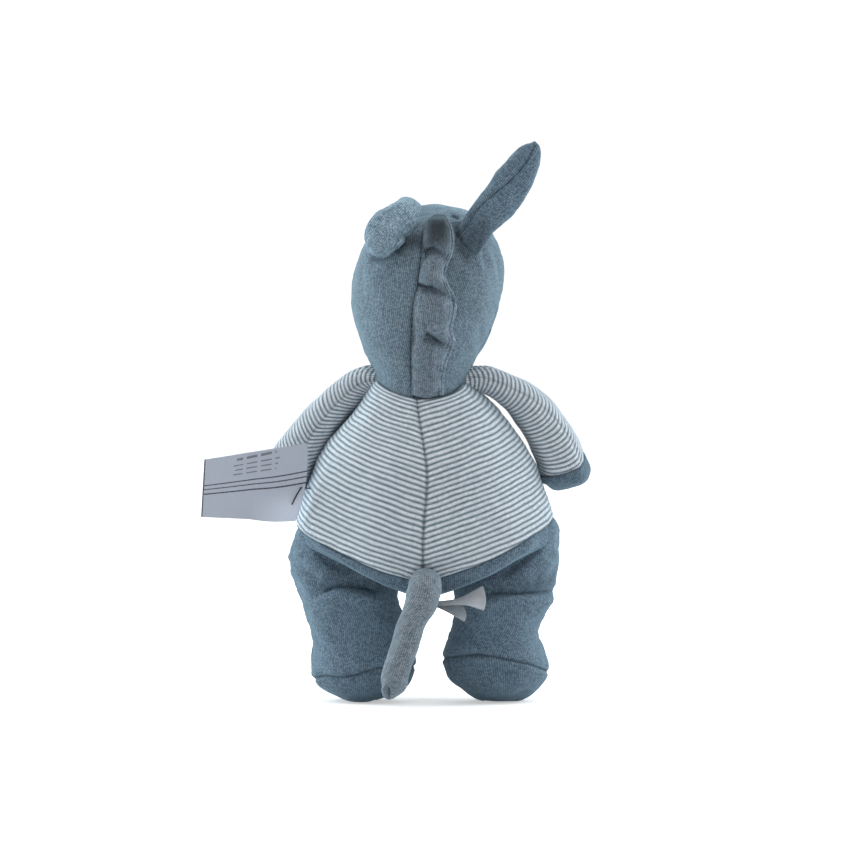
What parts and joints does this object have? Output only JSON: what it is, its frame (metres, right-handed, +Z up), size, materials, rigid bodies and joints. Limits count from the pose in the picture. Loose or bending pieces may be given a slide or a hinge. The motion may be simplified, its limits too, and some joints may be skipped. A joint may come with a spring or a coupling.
{
  "type": "plush toy animal",
  "caption": "Soft standing plush animal with long ears, a gathered mane, a stuffed tail and a striped jersey top, with a blank hang tag",
  "frame": {"origin": "on the floor, midway between the two feet, below the hips", "axes": "+Z up, +Y towards the face, +X to the toy's right-hand side as seen from behind"},
  "size_m": [0.2362, 0.1314, 0.3368],
  "materials": {
    "striped_jersey": "fine knitted jersey, blue and off-white stripes",
    "plain_jersey": "fine knitted marl jersey, blue grey",
    "pale_jersey": "fine knitted marl jersey, lighter blue grey",
    "muzzle_jersey": "fine knitted jersey, off-white",
    "dark_thread": "dark embroidery thread",
    "fibre_filling": "loose polyester fibre",
    "satin_label": "white satin ribbon, blank",
    "tag_card": "uncoated paper card, blank with ruled lines",
    "tag_fastener": "thin dark pin"
  },
  "bodies": {
    "torso": {"torso_back_left": "striped_jersey", "torso_back_right": "striped_jersey", "torso_front": "striped_jersey", "seat_left": "plain_jersey", "seat_right": "plain_jersey", "torso_stuffing": "fibre_filling", "care_label_leaf": "satin_label", "care_label_ribbon": "satin_label", "tag_pin": "tag_fastener"},
    "head": {"head_back_left": "plain_jersey", "head_back_right": "plain_jersey", "head_crown": "pale_jersey", "face_panel": "plain_jersey", "head_stuffing": "fibre_filling", "mane": "pale_jersey", "muzzle": "muzzle_jersey", "muzzle_filling": "fibre_filling", "nostrils": "dark_thread", "mouth_stitch": "dark_thread", "eye_left": "dark_thread", "eye_right": "dark_thread"},
    "ear_left": {"ear_left_back": "pale_jersey", "ear_left_front": "plain_jersey", "ear_left_filling": "fibre_filling"},
    "ear_right": {"ear_right_back": "pale_jersey", "ear_right_front": "plain_jersey", "ear_right_filling": "fibre_filling"},
    "arm_left": {"arm_left_sleeve": "striped_jersey", "arm_left_hand": "plain_jersey", "arm_left_stuffing": "fibre_filling"},
    "arm_right": {"arm_right_sleeve": "striped_jersey", "arm_right_hand": "plain_jersey", "arm_right_stuffing": "fibre_filling"},
    "leg_left": {"leg_left_back": "plain_jersey", "leg_left_front": "plain_jersey", "leg_left_sole": "plain_jersey", "leg_left_stuffing": "fibre_filling"},
    "leg_right": {"leg_right_back": "plain_jersey", "leg_right_front": "plain_jersey", "leg_right_sole": "plain_jersey", "leg_right_stuffing": "fibre_filling"},
    "tail": {"tail_cover": "pale_jersey", "tail_stuffing": "fibre_filling"},
    "tag": {"hang_tag": "tag_card"}
  },
  "joints": [
    {"name": "head_nod", "type": "hinge", "parent": "torso", "child": "head", "pos_m": [0, 0, 0.21], "axis": [1, 0, 0], "range_deg": [-20, 10]},
    {"name": "ear_left_lift", "type": "hinge", "parent": "head", "child": "ear_left", "pos_m": [-0.009, 0.007, 0.302], "axis": [1, 0, 0], "range_deg": [-75, 0]},
    {"name": "ear_right_flop", "type": "hinge", "parent": "head", "child": "ear_right", "pos_m": [0.0262, -0.023, 0.2815], "axis": [0.8575, 0, -0.5145], "range_deg": [-25, 25]},
    {"name": "arm_left_swing", "type": "hinge", "parent": "torso", "child": "arm_left", "pos_m": [-0.038, 0, 0.1905], "axis": [1, 0, 0], "range_deg": [0, 75]},
    {"name": "arm_right_swing", "type": "hinge", "parent": "torso", "child": "arm_right", "pos_m": [0.038, 0, 0.1905], "axis": [1, 0, 0], "range_deg": [0, 75]},
    {"name": "leg_left_fold", "type": "hinge", "parent": "torso", "child": "leg_left", "pos_m": [-0.046, 0, 0.06], "axis": [1, 0, 0], "range_deg": [0, 75]},
    {"name": "leg_right_fold", "type": "hinge", "parent": "torso", "child": "leg_right", "pos_m": [0.046, 0, 0.06], "axis": [1, 0, 0], "range_deg": [0, 75]},
    {"name": "tail_lift", "type": "hinge", "parent": "torso", "child": "tail", "pos_m": [0, -0.056, 0.083], "axis": [1, 0, 0], "range_deg": [-75, 0]},
    {"name": "tag_turn", "type": "hinge", "parent": "torso", "child": "tag", "pos_m": [-0.0771, -0.021, 0.1245], "axis": [0.5145, 0, 0.8575], "range_deg": [0, 70]}
  ]
}
